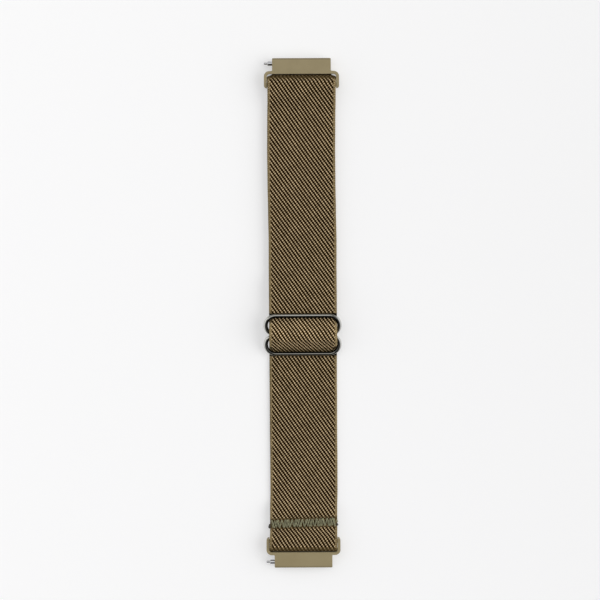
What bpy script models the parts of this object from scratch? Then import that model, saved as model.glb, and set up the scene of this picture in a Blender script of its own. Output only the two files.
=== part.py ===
"""Elastic nylon watch strap, lying open and flat with its right side up.

One strip of webbing is sewn round the middle bar of a wire slider, runs up
the back to the upper end link, turns round its crossbar, comes down the
front, weaves through the slider and ends in a sewn fold round the crossbar
of the lower end link. Each end link holds a quick-release spring bar.

+Y runs along the strap to the upper end link, +X across it, +Z out of the
visible face. The origin lies on the table under the middle of the strap.
"""

import math

import bmesh
import bpy
from mathutils import Matrix, Vector

# Overall
strap_length = 0.1748
overrun = 0.001

# Webbing
webbing_width = 0.0232
webbing_thickness = 0.0012
selvedge_round = 0.0003
layer_gap = 0.0002
wire_gap = 0.0002
run_gap = 0.0003

# End links
lug_width = 0.0200
lug_clearance = 0.00005
block_length = 0.00432
block_thickness = 0.0031
block_corner = 0.0003
shoulder_rail = 0.00095
shoulder_corner_share = 0.64
shoulder_fillet_share = 0.11
slot_side_gap = 0.0002
slot_corner = 0.0009
slot_free = 0.0015
arm_width = 0.00095
arm_end_reach = 0.0012
arm_end_corner = 0.00085
arm_end_fillet = 0.0001
arm_thickness = 0.0026
crossbar_radius = 0.00075
link_edge_round = 0.00025

# Slider
slider_wire_radius = 0.000575
slider_bar_spacing = 0.00682
slider_side_gap = 0.00035
slider_waist_round = 0.0007
slider_place = -0.00665

# How the webbing lies at the slider and the folds
run_reach = 0.0090
sewn_end_reach = 0.0124
tail_length = 0.0112
tail_place = 0.0062
tail_bend = 0.0050
settle_length = 0.0085
loop_overhang = 0.0006
pinch_overhang = 0.0010
crown_side_gap = 0.00025
pinch_inner = 0.0049
pinch_outer = 0.0063
pinch_end = 0.0076
fold_rise = 0.0095
upper_fold_slack = 0.00092
upper_brow_radius = 0.0009
upper_nose_place = 0.00205
upper_nose_radius = 0.0008
upper_nose_tuck = 0.0014
upper_nose_turn = 0.0012
lower_fold_rise = 0.0036
lower_tail_reach = 0.0092
lower_settle_gap = 0.0006
lower_settle_length = 0.0048
lower_fold_slack = 0.0013
lower_fold_tuck = 0.0008
lower_fold_turn = 0.0013

# Bar-tacks
thread_radius = 0.00015
thread_gap = 0.00005
thread_proud = 0.00015
zigzag_height = 0.0029
zigzag_period = 0.00164
zigzag_side_inset = 0.0004
tack_margin = 0.0003
lower_tack_place = 0.0065
sewn_tack_place = 0.0089
lower_tack_tilt = math.radians(1.1)

# Spring bars
bar_radius = 0.00075
bar_wall = 0.0002
bar_lip = 0.0003
bar_inset = 0.0005
bar_stand_out = 0.0016
bar_to_block_end = 0.00175
bore_gap = 0.00015
pin_gap = 0.00006
tip_radius = 0.00036
tip_reach = 0.00125
tip_chamfer = 0.0001
plunger_length = 0.0042
plug_length = 0.0024
release_travel = 0.0013
knob_radius = 0.00055
knob_length = 0.0011
knob_chamfer = 0.0001
knob_setback = 0.0032
knob_recess_gap = 0.00025
stem_radius = 0.0002
stem_side_gap = 0.0001
stem_depth = 0.00025
spring_wire_radius = 0.00008
spring_gap = 0.00012
spring_curls = 14

# Facets
weld_distance = 0.000005
least_step = 0.00005
mitre_share = 0.5
arc_step = math.radians(15)
turn_steps = 16
spring_points = 8
zigzag_points = 6

# Places that follow from the sizes above
block_half = lug_width / 2 - lug_clearance
slot_half = webbing_width / 2 + slot_side_gap
frame_half = slot_half + arm_width
fold_radius = crossbar_radius + wire_gap + webbing_thickness / 2
link_height = fold_radius + webbing_thickness / 2
fold_to_slot = fold_radius + webbing_thickness / 2 + slot_free
crossbar_to_end = fold_to_slot + shoulder_rail + block_length
crossbar_place = strap_length / 2 - crossbar_to_end
layer_step = webbing_thickness + layer_gap
first_layer = webbing_thickness / 2
second_layer = first_layer + layer_step
third_layer = second_layer + layer_step
wire_to_strand = slider_wire_radius + wire_gap + webbing_thickness / 2
upper_bar_height = third_layer + wire_to_strand
lower_bar_height = first_layer + wire_to_strand
slider_height = (upper_bar_height + lower_bar_height) / 2
slider_tilt = math.asin((upper_bar_height - lower_bar_height) / (2 * slider_bar_spacing))
slider_half = webbing_width / 2 + slider_side_gap + slider_wire_radius
lobe_radius = slider_bar_spacing / 2
lobe_place = slider_half - lobe_radius
float_travel = bar_stand_out + bar_inset
bar_half = block_half - bar_inset
bar_bore = bar_radius - bar_wall
head_radius = bar_bore - pin_gap
lip_bore = tip_radius + pin_gap

collection_name = "nylon_watch_strap"
cutter_collection_name = "cutters"


def clear_scene():
    for item in list(bpy.data.objects):
        bpy.data.objects.remove(item)


def new_collection(name):
    collection = bpy.data.collections.new(name)
    bpy.context.scene.collection.children.link(collection)
    return collection


def material(name, colour, roughness, metallic):
    made = bpy.data.materials.new(name)
    made.use_nodes = True
    shader = made.node_tree.nodes["Principled BSDF"]
    shader.inputs["Base Color"].default_value = (*colour, 1)
    shader.inputs["Roughness"].default_value = roughness
    shader.inputs["Metallic"].default_value = metallic
    made.diffuse_color = (*colour, 1)
    return made


def add_object(name, data, look=None, parent=None, place=None):
    """Links an object to the strap's collection, at a world matrix, under a parent."""
    made = bpy.data.objects.new(name, data)
    strap.objects.link(made)
    if look:
        data.materials.append(look)
    made.matrix_world = place or Matrix()
    if parent:
        hang(made, parent)
    return made


def hang(child, parent):
    """Parents the child and leaves it where it stands."""
    bpy.context.view_layer.update()
    child.parent = parent
    child.matrix_parent_inverse = parent.matrix_world.inverted()


def axis_empty(name, place, parent=None):
    """An empty on a joint's axis."""
    made = add_object(name, None, place=Matrix.Translation(place))
    made.empty_display_size = webbing_thickness
    if parent:
        hang(made, parent)
    return made


def make_cutter(item):
    strap.objects.unlink(item)
    cutters.objects.link(item)
    item.hide_render = True
    item.display_type = "WIRE"
    return item


def boolean(item, other, operation):
    modifier = item.modifiers.new(other.name, "BOOLEAN")
    modifier.operation = operation
    modifier.object = other


def smooth(item):
    item.data.shade_smooth()
    item.data.set_sharp_from_angle(angle=math.radians(40))


# Outlines in a plane


def unit(angle):
    return Vector((math.cos(angle), math.sin(angle)))


def normal(angle):
    """The unit vector to the left of a direction."""
    return Vector((-math.sin(angle), math.cos(angle)))


def arc(centre, radius, start, end):
    steps = max(2, math.ceil(abs(end - start) / arc_step))
    turn = (end - start) / steps
    return [centre + radius * unit(start + turn * i) for i in range(steps + 1)]


def ease(start, end, steps=8):
    """Points of a smooth S from one level run to another."""
    made = []
    for i in range(steps + 1):
        share = i / steps
        lift = share * share * (3 - 2 * share)
        along = start.x + (end.x - start.x) * share
        made.append(Vector((along, start.y + (end.y - start.y) * lift)))
    return made


def belt(wheels, start, end):
    """The path of a strip round wheels, given as (centre, distance), from one direction to another.

    The distance is positive where the wheel lies to the right of the strip. Between two wheels the
    strip is straight and touches both circles.
    """
    directions = [start]
    for (first, one), (second, other) in zip(wheels, wheels[1:]):
        way = second - first
        angle = math.atan2(way.y, way.x) - math.asin((one - other) / way.length)
        side = math.copysign(1, -one)
        bend = side * (angle - directions[-1]) % (2 * math.pi)
        directions.append(directions[-1] + side * bend)
    directions.append(end)
    made = []
    for (centre, distance), arriving, leaving in zip(wheels, directions, directions[1:]):
        steps = max(1, math.ceil(abs(leaving - arriving) / arc_step))
        for i in range(steps + 1):
            heading = arriving + (leaving - arriving) * i / steps
            made.append(centre + distance * normal(heading))
    return made


def without_repeats(path):
    made = [path[0]]
    for point in path[1:]:
        if (point - made[-1]).length > least_step:
            made.append(point)
    return made


def strip_outline(path, half):
    """The closed outline of a strip that follows a path, half its thickness to each side."""
    left, right = [], []
    for i, point in enumerate(path):
        before = path[max(i - 1, 0)]
        after = path[min(i + 1, len(path) - 1)]
        came = (point - before).normalized() if i else (after - point).normalized()
        goes = (after - point).normalized() if i < len(path) - 1 else came
        across = (came + goes).normalized().orthogonal()
        reach = half / max(across.dot(came.orthogonal()), mitre_share)
        left.append(point + across * reach)
        right.append(point - across * reach)
    return left + right[::-1]


def rounded(corners):
    """The outline through corners given as (x, y, radius), each rounded."""
    made = []
    for i, (x, y, radius) in enumerate(corners):
        here = Vector((x, y))
        came = (here - Vector(corners[i - 1][:2])).normalized()
        goes = (Vector(corners[(i + 1) % len(corners)][:2]) - here).normalized()
        turn = math.atan2(came.cross(goes), came.dot(goes))
        back = radius * math.tan(abs(turn) / 2)
        side = math.copysign(1, turn)
        centre = here - came * back + radius * side * came.orthogonal()
        start = math.atan2(came.y, came.x) - side * math.pi / 2
        made += arc(centre, radius, start, start + turn)
    return made


# Solids from outlines, profiles and paths


def outline_mesh(name, outline, depth, edge_round, edge_steps=0):
    """The solid of an outline, its edges rounded, centred on its plane."""
    curve = bpy.data.curves.new(name, "CURVE")
    curve.dimensions = "2D"
    curve.fill_mode = "BOTH"
    curve.extrude = depth / 2 - edge_round
    curve.bevel_depth = edge_round
    curve.bevel_resolution = edge_steps
    spline = curve.splines.new("POLY")
    spline.points.add(len(outline) - 1)
    for point, place in zip(spline.points, outline):
        point.co = (place.x, place.y, 0, 1)
    spline.use_cyclic_u = True
    return mesh_of_curve(name, curve)


def mesh_of_curve(name, curve):
    """The closed mesh of a curve with a bevel or an extrusion."""
    helper = bpy.data.objects.new(name, curve)
    bpy.context.scene.collection.objects.link(helper)
    graph = bpy.context.evaluated_depsgraph_get()
    mesh = bpy.data.meshes.new_from_object(helper.evaluated_get(graph))
    mesh.name = name
    bpy.data.objects.remove(helper)
    shape = bmesh.new()
    shape.from_mesh(mesh)
    bmesh.ops.remove_doubles(shape, verts=shape.verts, dist=weld_distance)
    bmesh.ops.recalc_face_normals(shape, faces=shape.faces)
    shape.to_mesh(mesh)
    shape.free()
    return mesh


def wire_mesh(name, path, radius, closed=False, sides=2):
    """A round wire along a path."""
    curve = bpy.data.curves.new(name, "CURVE")
    curve.dimensions = "3D"
    curve.bevel_depth = radius
    curve.bevel_resolution = sides
    curve.use_fill_caps = not closed
    spline = curve.splines.new("POLY")
    spline.points.add(len(path) - 1)
    for point, place in zip(spline.points, path):
        point.co = (*place, 1)
    spline.use_cyclic_u = closed
    return mesh_of_curve(name, curve)


def turned(name, profile, look, place, parent, closed=False):
    """A turned piece round its own Z, from a profile of (radius, height) that runs down its outer side."""
    mesh = bpy.data.meshes.new(name)
    shape = bmesh.new()
    verts = [shape.verts.new((radius, 0, height)) for radius, height in profile]
    for one, other in zip(verts, verts[1:]):
        shape.edges.new((one, other))
    if closed:
        shape.edges.new((verts[-1], verts[0]))
    shape.to_mesh(mesh)
    shape.free()
    made = add_object(name, mesh, look, parent, place)
    screw = made.modifiers.new("turn", "SCREW")
    screw.angle = 2 * math.pi
    screw.steps = turn_steps
    screw.render_steps = turn_steps
    screw.use_merge_vertices = True
    screw.merge_threshold = weld_distance
    screw.use_smooth_shade = True
    return made


def round_cutter(name, radius, start, end):
    """A cylinder cutter between two points."""
    way = end - start
    mesh = bpy.data.meshes.new(name)
    shape = bmesh.new()
    bmesh.ops.create_cone(
        shape,
        cap_ends=True,
        segments=2 * turn_steps,
        radius1=radius,
        radius2=radius,
        depth=way.length,
    )
    shape.to_mesh(mesh)
    shape.free()
    turn = way.to_track_quat("Z", "Y").to_matrix().to_4x4()
    place = Matrix.Translation((start + end) / 2) @ turn
    return make_cutter(add_object(name, mesh, place=place))


def box_cutter(name, centre, size, tilt=0.0):
    mesh = bpy.data.meshes.new(name)
    shape = bmesh.new()
    bmesh.ops.create_cube(shape, size=1)
    bmesh.ops.scale(shape, vec=size, verts=shape.verts)
    shape.to_mesh(mesh)
    shape.free()
    place = Matrix.Translation(centre) @ Matrix.Rotation(tilt, 4, "Z")
    return make_cutter(add_object(name, mesh, place=place))


# Webbing


def side_view():
    """Turns an outline drawn in (Y, Z) so that its thickness runs along X."""
    return Matrix(((0, 0, 1, 0), (1, 0, 0, 0), (0, 1, 0, 0), (0, 0, 0, 1)))


def width_at(along, stations):
    """The half width at a place, eased between stations of (place, half width)."""
    if along <= stations[0][0]:
        return stations[0][1]
    for (start, one), (end, other) in zip(stations, stations[1:]):
        if along <= end:
            share = (along - start) / (end - start)
            return one + (other - one) * share * share * (3 - 2 * share)
    return stations[-1][1]


def webbing_piece(name, path, look, parent, stations=None):
    """A length of webbing that follows a path in (Y, Z), narrowed where stations say so."""
    half = webbing_thickness / 2 - selvedge_round
    path = without_repeats(path)
    path[0] = path[0] + selvedge_round * (path[1] - path[0]).normalized()
    path[-1] = path[-1] + selvedge_round * (path[-2] - path[-1]).normalized()
    mesh = outline_mesh(name, strip_outline(path, half), webbing_width, selvedge_round)
    for vertex in mesh.vertices:
        if stations:
            along = vertex.co.x - slider_place
            vertex.co.z *= width_at(along, stations) / (webbing_width / 2)
    made = add_object(name, mesh, look, parent, side_view())
    smooth(made)
    return made


def at_slider(along, height):
    """A point of the slider's plane, seen from the side, in (Y, Z)."""
    turn = Matrix.Rotation(slider_tilt, 2)
    return Vector((slider_place, slider_height)) + turn @ Vector((along, height))


def crossing_path():
    """Under the upper bar, over the middle bar and its loop, under the lower bar."""
    over = wire_to_strand + layer_step
    wheels = [
        (at_slider(slider_bar_spacing, 0), wire_to_strand),
        (at_slider(0, 0), -over),
        (at_slider(-slider_bar_spacing, 0), wire_to_strand),
    ]
    start = Vector((slider_place + run_reach, third_layer))
    end = Vector((slider_place - run_reach, first_layer))
    return [start] + belt(wheels, math.pi, math.pi) + [end]


def sewn_end_path():
    """Under the upper bar below the front strand, round the middle bar, and back under itself."""
    wheels = [
        (at_slider(slider_bar_spacing, 0), wire_to_strand + layer_step),
        (at_slider(0, 0), -wire_to_strand),
        (Vector((slider_place + tail_place, first_layer + tail_bend)), -tail_bend),
    ]
    start = Vector((slider_place + sewn_end_reach, second_layer))
    end = Vector((slider_place + tail_length, first_layer))
    return [start] + belt(wheels, math.pi, 2 * math.pi) + [end]


def upper_run_path():
    """From the sewn end up the back, round the upper crossbar, and down the front to the slider."""
    back_start = slider_place + sewn_end_reach + run_gap
    front_end = slider_place + run_reach + run_gap
    back_low = back_start + settle_length
    front_low = back_low + layer_step
    fold_top = link_height + fold_radius
    nose = Vector((crossbar_place + upper_nose_place, first_layer + upper_nose_radius))
    brow = Vector((crossbar_place + upper_fold_slack, fold_top - upper_brow_radius))
    front_top = crossbar_place - fold_rise
    return (
        ease(Vector((back_start, second_layer)), Vector((back_low, first_layer)))
        + belt([(nose, -upper_nose_radius), (brow, -upper_brow_radius)], 0, math.pi)
        + ease(Vector((crossbar_place, fold_top)), Vector((front_top, second_layer)))
        + ease(Vector((front_low, second_layer)), Vector((front_low - settle_length, third_layer)))
        + [Vector((front_end, third_layer))]
    )


def upper_run_widths():
    """The fold sags into the slot as a blunt nose, and the nose's corners tuck in."""
    full = webbing_width / 2
    reach = upper_nose_place + upper_nose_radius + webbing_thickness / 2
    tip = crossbar_place + reach - slider_place
    return [(tip - upper_nose_turn, full), (tip, full - upper_nose_tuck)]


def lower_run_path():
    """From the slider down to the lower crossbar, round it, and back on itself as a short tail."""
    start = slider_place - run_reach - run_gap
    tail_end = -crossbar_place + lower_tail_reach
    ramp_end = tail_end + lower_settle_gap
    ramp_start = ramp_end + lower_settle_length
    fold_start = -crossbar_place + lower_fold_rise
    centre = Vector((-crossbar_place - lower_fold_slack, link_height))
    return (
        [Vector((start, first_layer))]
        + ease(Vector((ramp_start, first_layer)), Vector((ramp_end, second_layer)))
        + ease(Vector((fold_start, second_layer)), Vector((-crossbar_place, link_height + fold_radius)))
        + arc(centre, fold_radius, math.pi / 2, 3 * math.pi / 2)
        + [Vector((tail_end, first_layer))]
    )


def lower_run_widths():
    """The fold's corners tuck in, because the slot's corners are round."""
    full = webbing_width / 2
    tip = -crossbar_place - lower_fold_slack - link_height - slider_place
    return [(tip, full - lower_fold_tuck), (tip + lower_fold_turn, full)]


def crossing_widths():
    full = webbing_width / 2
    pinched = lobe_place + pinch_overhang
    crown = full - crown_side_gap
    return [
        (-pinch_end, full),
        (-pinch_outer, pinched),
        (-pinch_inner, pinched),
        (-slider_bar_spacing / 2, crown),
        (slider_bar_spacing / 2, crown),
        (pinch_inner, pinched),
        (pinch_outer, pinched),
        (pinch_end, full),
    ]


def sewn_end_widths():
    full = webbing_width / 2
    looped = lobe_place + loop_overhang
    pinched = lobe_place + pinch_overhang
    return [(0, looped), (slider_bar_spacing / 2, pinched), (pinch_end, full)]


def tack_recess(item, name, centre_y, surface, outward, depth, tilt=0.0):
    """Cuts the shallow band that a bar-tack's thread pulls into a layer of webbing."""
    size = Vector(
        (
            webbing_width + 2 * overrun,
            zigzag_height + 2 * (thread_radius + tack_margin),
            depth + overrun,
        )
    )
    middle = surface + outward * (overrun - depth) / 2
    cutter = box_cutter(name, Vector((0, centre_y, middle)), size, tilt)
    boolean(item, cutter, "DIFFERENCE")


def zigzag_thread(name, centre_y, height, look, parent, tilt=0.0):
    """One thread of a bar-tack, in a rounded zigzag across the webbing."""
    half = webbing_width / 2 - zigzag_side_inset
    count = math.floor(2 * half / zigzag_period)
    path = []
    for i in range(count * zigzag_points + 1):
        share = i / (count * zigzag_points)
        wave = math.cos(2 * math.pi * i / zigzag_points)
        path.append((half * (2 * share - 1), wave * zigzag_height / 2, 0))
    mesh = wire_mesh(name, path, thread_radius, sides=0)
    place = Matrix.Translation((0, centre_y, height)) @ Matrix.Rotation(tilt, 4, "Z")
    made = add_object(name, mesh, look, parent, place)
    smooth(made)
    return made


def build_webbing(parents, looks):
    made = {
        "upper": webbing_piece(
            "webbing_upper_run",
            upper_run_path(),
            looks["webbing"],
            None,
            upper_run_widths(),
        ),
        "crossing": webbing_piece(
            "webbing_slider_crossing",
            crossing_path(),
            looks["webbing"],
            parents["slider"],
            crossing_widths(),
        ),
        "sewn": webbing_piece(
            "webbing_sewn_end",
            sewn_end_path(),
            looks["webbing"],
            parents["slider"],
            sewn_end_widths(),
        ),
        "lower": webbing_piece(
            "webbing_lower_run",
            lower_run_path(),
            looks["webbing"],
            parents["lower_run"],
            lower_run_widths(),
        ),
    }
    return made


def build_bar_tacks(webbing, parents, looks):
    """Each bar-tack has a needle thread on top and a bobbin thread underneath."""
    sink = 2 * thread_radius + thread_gap
    shown_sink = sink - thread_proud
    buried = sink + thread_gap
    inner = thread_gap + thread_radius
    top = second_layer + webbing_thickness / 2
    sewn = slider_place + sewn_tack_place
    lower = -crossbar_place + lower_tack_place
    tilt = lower_tack_tilt
    tack_recess(webbing["sewn"], "sewn_tack_top_recess", sewn, top, 1, sink)
    tack_recess(webbing["sewn"], "sewn_tack_back_recess", sewn, 0, -1, buried)
    tack_recess(webbing["lower"], "lower_tack_top_recess", lower, top, 1, shown_sink, tilt)
    tack_recess(webbing["lower"], "lower_tack_back_recess", lower, 0, -1, buried, tilt)
    thread = looks["thread"]
    slider, lower_run = parents["slider"], parents["lower_run"]
    zigzag_thread("sewn_end_needle_thread", sewn, top - sink + inner, thread, slider)
    zigzag_thread("sewn_end_bobbin_thread", sewn, buried - inner, thread, slider)
    zigzag_thread(
        "lower_tack_needle_thread", lower, top - shown_sink + inner, thread, lower_run, tilt
    )
    zigzag_thread("lower_tack_bobbin_thread", lower, buried - inner, thread, lower_run, tilt)


# Slider


def slider_outer_path():
    """The centre line of the two-lobed wire, in the slider's plane, anticlockwise from the upper bar."""
    waist = lobe_place + math.sqrt((lobe_radius + slider_waist_round) ** 2 - lobe_radius**2)
    lean = math.atan2(lobe_radius, waist - lobe_place)
    right = arc(Vector((waist, 0)), slider_waist_round, math.pi + lean, math.pi - lean)
    upper = arc(Vector((lobe_place, lobe_radius)), lobe_radius, -lean, math.pi / 2)
    lower = arc(Vector((lobe_place, -lobe_radius)), lobe_radius, -math.pi / 2, lean)
    half = lower + right[1:-1] + upper
    mirrored = [Vector((-point.x, point.y)) for point in reversed(half)]
    return half + mirrored, waist - slider_waist_round


def build_slider(parent, look):
    """A two-lobed wire frame with a middle bar across its waist."""
    path, waist = slider_outer_path()
    place = Matrix.Translation((0, slider_place, slider_height)) @ Matrix.Rotation(slider_tilt, 4, "X")
    frame = wire_mesh("length_slider", [(p.x, p.y, 0) for p in path], slider_wire_radius, True, 3)
    made = add_object("length_slider", frame, look, parent, place)
    smooth(made)
    bar = wire_mesh("slider_middle_bar", [(-waist, 0, 0), (waist, 0, 0)], slider_wire_radius, False, 3)
    joined = make_cutter(add_object("slider_middle_bar", bar, None, parent, place))
    boolean(made, joined, "UNION")
    return made


# End links


def link_outline():
    """The plan of a link without its crossbar: lug block, shoulders and two arms."""
    end = crossbar_to_end
    shoulder = end - block_length
    slot = fold_to_slot
    step = frame_half - block_half
    shoulder_fillet = shoulder_fillet_share * step
    shoulder_corner = shoulder_corner_share * step
    corners = [
        (block_half, end, block_corner),
        (-block_half, end, block_corner),
        (-block_half, shoulder, shoulder_fillet),
        (-frame_half, shoulder, shoulder_corner),
        (-frame_half, -arm_end_reach, arm_end_corner),
        (-slot_half, -arm_end_reach, arm_end_fillet),
        (-slot_half, slot, slot_corner),
        (slot_half, slot, slot_corner),
        (slot_half, -arm_end_reach, arm_end_fillet),
        (frame_half, -arm_end_reach, arm_end_corner),
        (frame_half, shoulder, shoulder_corner),
        (block_half, shoulder, shoulder_fillet),
    ]
    return rounded(corners)


def build_link(name, outward, parent, look):
    """An end link round its crossbar: a block with a bore for the spring bar and a frame for the webbing."""
    turn = Matrix.Rotation(0 if outward > 0 else math.pi, 4, "Z")
    place = Matrix.Translation((0, outward * crossbar_place, link_height)) @ turn
    mesh = outline_mesh(name, link_outline(), block_thickness, 0)
    for vertex in mesh.vertices:
        if vertex.co.y < fold_to_slot:
            share = (fold_to_slot - vertex.co.y) / (fold_to_slot + arm_end_reach)
            vertex.co.z *= 1 + share * (arm_thickness / block_thickness - 1)
    made = add_object(name, mesh, look, parent, place)
    rounding = made.modifiers.new("edges", "BEVEL")
    rounding.width = link_edge_round
    rounding.segments = 2
    rounding.limit_method = "ANGLE"
    rounding.angle_limit = math.radians(60)
    smooth(made)
    reach = slot_half + arm_width / 2
    centre = place.to_translation()
    crossbar = round_cutter(
        name + "_crossbar",
        crossbar_radius,
        centre - Vector((reach, 0, 0)),
        centre + Vector((reach, 0, 0)),
    )
    boolean(made, crossbar, "UNION")
    bore_y = outward * (strap_length / 2 - bar_to_block_end)
    through = Vector((block_half + overrun, 0, 0))
    axis = Vector((0, bore_y, link_height))
    bore = round_cutter(name + "_bore", bar_radius + bore_gap, axis - through, axis + through)
    boolean(made, bore, "DIFFERENCE")
    boolean(made, knob_recess(name + "_knob_recess", bore_y), "DIFFERENCE")
    for cutter in (crossbar, bore):
        hang(cutter, parent)
    return made


def knob_place():
    return -block_half - bar_stand_out + knob_setback


def knob_recess(name, bore_y):
    """The slot under the block in which the release knob travels."""
    reach = knob_radius + knob_recess_gap
    start = knob_place()
    end = start + float_travel + release_travel
    outline = arc(Vector((end, bore_y)), reach, -math.pi / 2, math.pi / 2)
    outline += arc(Vector((start, bore_y)), reach, math.pi / 2, 3 * math.pi / 2)
    bottom = link_height - block_thickness / 2 - overrun
    mesh = outline_mesh(name, outline, link_height - bottom, 0)
    place = Matrix.Translation((0, 0, (link_height + bottom) / 2))
    return make_cutter(add_object(name, mesh, place=place))


# Spring bars


def along_bar(x, y):
    """A frame on the bar's axis with its Z along the strap's width."""
    return Matrix.Translation((x, y, link_height)) @ Matrix.Rotation(math.pi / 2, 4, "Y")


def bar_tube(name, left, y, parent, look):
    length = 2 * bar_half
    profile = [
        (bar_radius - tip_chamfer, length),
        (bar_radius, length - tip_chamfer),
        (bar_radius, tip_chamfer),
        (bar_radius - tip_chamfer, 0),
        (lip_bore, 0),
        (lip_bore, bar_lip),
        (bar_bore, bar_lip),
        (bar_bore, length - bar_lip),
        (lip_bore, length - bar_lip),
        (lip_bore, length),
    ]
    tube = turned(name, profile, look, along_bar(left, y), parent, closed=True)
    width = 2 * (stem_radius + stem_side_gap)
    start = left + knob_setback - width / 2
    end = left + knob_setback + release_travel + width / 2
    centre = Vector(((start + end) / 2, y, link_height - bar_radius))
    size = Vector((end - start, width, bar_radius))
    boolean(tube, box_cutter(name + "_slot", centre, size), "DIFFERENCE")
    return tube


def tip_profile(head_length):
    """A pin's tip, neck and head, from the tip's face up, on the bar's axis."""
    neck = tip_reach + bar_lip + pin_gap
    return [
        (0, neck + head_length),
        (head_radius - tip_chamfer, neck + head_length),
        (head_radius, neck + head_length - tip_chamfer),
        (head_radius, neck),
        (tip_radius, neck),
        (tip_radius, tip_chamfer),
        (tip_radius - tip_chamfer, 0),
        (0, 0),
    ]


def bar_plunger(name, left, y, parent, look):
    made = turned(name, tip_profile(plunger_length), look, along_bar(left - tip_reach, y), parent)
    stem = Vector((left + knob_setback, y, link_height))
    hole = round_cutter(
        name + "_stem_hole",
        stem_radius + pin_gap,
        stem - Vector((0, 0, bar_radius)),
        stem + Vector((0, 0, stem_depth)),
    )
    boolean(made, hole, "DIFFERENCE")
    return made


def bar_fixed_tip(name, right, y, parent, look):
    place = along_bar(right + tip_reach, y) @ Matrix.Rotation(math.pi, 4, "X")
    return turned(name, tip_profile(plug_length), look, place, parent)


def release_knob(name, left, y, parent, look):
    top = stem_depth - pin_gap
    head_top = -bar_radius - stem_side_gap
    foot = head_top - knob_length
    profile = [
        (0, top),
        (stem_radius, top),
        (stem_radius, head_top),
        (knob_radius - knob_chamfer, head_top),
        (knob_radius, head_top - knob_chamfer),
        (knob_radius, foot + knob_chamfer),
        (knob_radius - knob_chamfer, foot),
        (0, foot),
    ]
    place = Matrix.Translation((left + knob_setback, y, link_height))
    return turned(name, profile, look, place, parent)


def coil_spring(name, left, y, parent, look):
    """The spring between the plunger's head and the fixed plug."""
    start = left + bar_lip + pin_gap + plunger_length + pin_gap + spring_wire_radius
    end = left + 2 * bar_half - bar_lip - pin_gap - plug_length - pin_gap - spring_wire_radius
    radius = bar_bore - spring_gap - spring_wire_radius
    count = spring_curls * spring_points
    path = []
    for i in range(count + 1):
        angle = 2 * math.pi * i / spring_points
        height = (end - start) * i / count
        path.append(Vector((radius * math.cos(angle), radius * math.sin(angle), height)))
    report_gap(name, path, spring_wire_radius)
    mesh = wire_mesh(name, path, spring_wire_radius, sides=1)
    made = add_object(name, mesh, look, parent, along_bar(start, y))
    smooth(made)
    return made


def report_gap(name, path, radius):
    """Prints the least gap between a coil's turns, measured on its points."""
    least = min(
        (path[i] - path[j]).length
        for i in range(len(path))
        for j in range(i + spring_points - 1, min(i + spring_points + 2, len(path)))
    )
    print(f"{name}: least gap between turns {1000 * (least - 2 * radius):.2f} mm")


def build_spring_bar(side, outward, link_axis, looks):
    """A quick-release bar, pushed to the left in its bore, with its knob at the left end."""
    y = outward * (strap_length / 2 - bar_to_block_end)
    left = -block_half - bar_stand_out
    right = left + 2 * bar_half
    bar = axis_empty(side + "_bar_axis", Vector((left, y, link_height)), link_axis)
    plunger = axis_empty(side + "_plunger_axis", Vector((left, y, link_height)), bar)
    bar_tube(side + "_bar_tube", left, y, bar, looks["steel"])
    bar_fixed_tip(side + "_bar_fixed_tip", right, y, bar, looks["steel"])
    coil_spring(side + "_bar_spring", left, y, bar, looks["spring"])
    bar_plunger(side + "_bar_plunger", left, y, plunger, looks["steel"])
    release_knob(side + "_bar_release_knob", left, y, plunger, looks["steel"])


def make_looks():
    return {
        "webbing": material("khaki nylon webbing", (0.107, 0.077, 0.038), 0.9, 0.0),
        "thread": material("grey-green polyester thread", (0.108, 0.103, 0.058), 0.7, 0.0),
        "link": material("khaki painted zinc", (0.275, 0.223, 0.136), 0.5, 0.0),
        "slider": material("gunmetal plated steel", (0.28, 0.28, 0.27), 0.22, 1.0),
        "steel": material("stainless steel", (0.56, 0.56, 0.57), 0.28, 1.0),
        "spring": material("spring steel", (0.45, 0.45, 0.46), 0.35, 1.0),
    }


def build():
    looks = make_looks()
    slider_axis = axis_empty("slider_axis", Vector((0, slider_place, slider_height)))
    lower_run_axis = axis_empty("lower_run_axis", Vector((0, -crossbar_place, 0)), slider_axis)
    parents = {"slider": slider_axis, "lower_run": lower_run_axis}
    webbing = build_webbing(parents, looks)
    build_bar_tacks(webbing, parents, looks)
    build_slider(slider_axis, looks["slider"])
    for side, outward, parent in (("upper", 1, None), ("lower", -1, lower_run_axis)):
        place = Vector((0, outward * crossbar_place, link_height))
        link_axis = axis_empty(side + "_link_axis", place, parent)
        build_link(side + "_end_link", outward, link_axis, looks["link"])
        build_spring_bar(side, outward, link_axis, looks)


clear_scene()
strap = new_collection(collection_name)
cutters = new_collection(cutter_collection_name)
build()
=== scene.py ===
# %% [markdown]
# An elastic nylon watch strap, dressed for its photograph
#
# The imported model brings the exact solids: one strip of webbing threaded through a wire slider,
# two painted metal end links and their spring bars. This script puts the finish on them. The
# webbing, the stitches, the slider's wire and the springs get new surfaces, and the rest get new
# materials.

# %% Load the model
import math

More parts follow.
